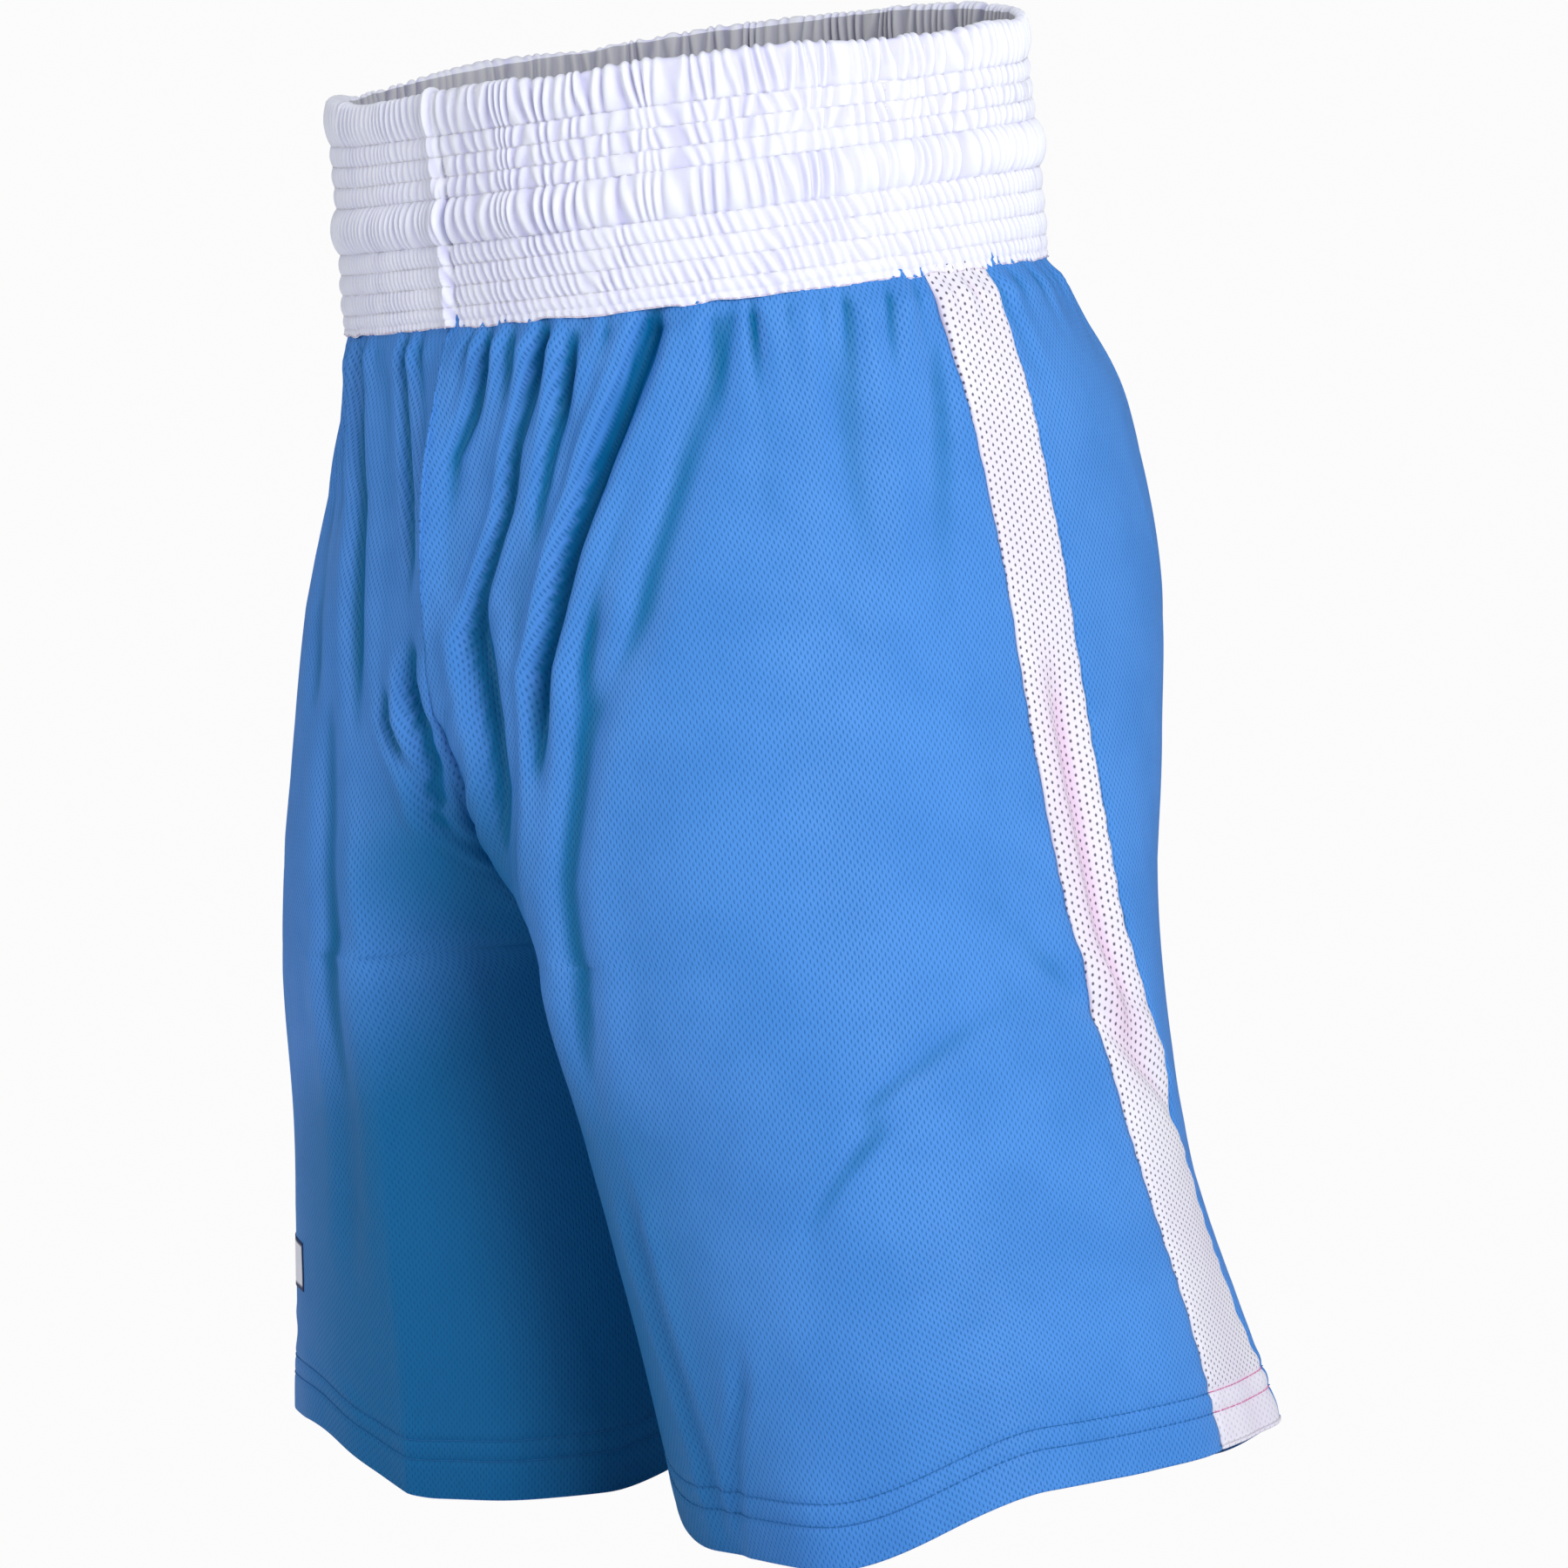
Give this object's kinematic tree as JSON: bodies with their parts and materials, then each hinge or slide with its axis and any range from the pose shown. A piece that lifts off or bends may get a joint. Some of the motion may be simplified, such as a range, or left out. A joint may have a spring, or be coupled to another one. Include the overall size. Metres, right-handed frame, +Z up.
{
  "type": "boxing shorts",
  "caption": "Loose knee-length boxing shorts with a deep shirred elastic waistband, mesh side stripes and stitched hems, worn on the hips and legs.",
  "frame": {"origin": "middle of the bounding box at its base, on the level the lowest parts of the hems stand on", "axes": "+Z up the garment, +X to the wearer's left, -Y the wearer's front"},
  "size_m": [0.4518, 0.2848, 0.5511],
  "materials": {
    "body_cloth": "semi-gloss birdseye micro-mesh knit, bright blue",
    "side_mesh": "white perforated mesh knit with a faint pink cast",
    "band_cloth": "matte white shirred knit",
    "elastic": "woven elastic webbing",
    "body_thread": "blue polyester thread",
    "band_thread": "white polyester thread",
    "seam_thread": "pink polyester thread",
    "label_cloth": "blank woven satin",
    "patch_cloth": "plain white print with a dark border"
  },
  "bodies": {
    "root": {"front_panel_left": "body_cloth", "side_panel_left": "side_mesh", "back_panel_left": "body_cloth", "side_seam_front_left": "seam_thread", "side_seam_back_left": "seam_thread", "inseam_left": "body_thread", "hem_stitch_low_left": "body_thread", "hem_stitch_high_left": "body_thread", "front_panel_right": "body_cloth", "side_panel_right": "side_mesh", "back_panel_right": "body_cloth", "side_seam_front_right": "seam_thread", "side_seam_back_right": "seam_thread", "inseam_right": "body_thread", "hem_stitch_low_right": "body_thread", "hem_stitch_high_right": "body_thread", "centre_seam": "body_thread", "waistband_casing": "band_cloth", "waist_seam_stitch": "seam_thread", "band_stitch_row_1": "band_thread", "band_stitch_row_2": "band_thread", "band_stitch_row_3": "band_thread", "band_stitch_row_4": "band_thread", "band_stitch_row_5": "band_thread", "band_stitch_row_6": "band_thread", "band_stitch_row_7": "band_thread", "band_stitch_row_8": "band_thread", "elastic_strip_1": "elastic", "elastic_strip_2": "elastic", "elastic_strip_3": "elastic", "elastic_strip_4": "elastic", "elastic_strip_5": "elastic", "elastic_strip_6": "elastic", "band_join_seam": "band_thread", "size_label": "label_cloth", "care_label": "label_cloth", "leg_patch": "patch_cloth"}
  },
  "joints": []
}
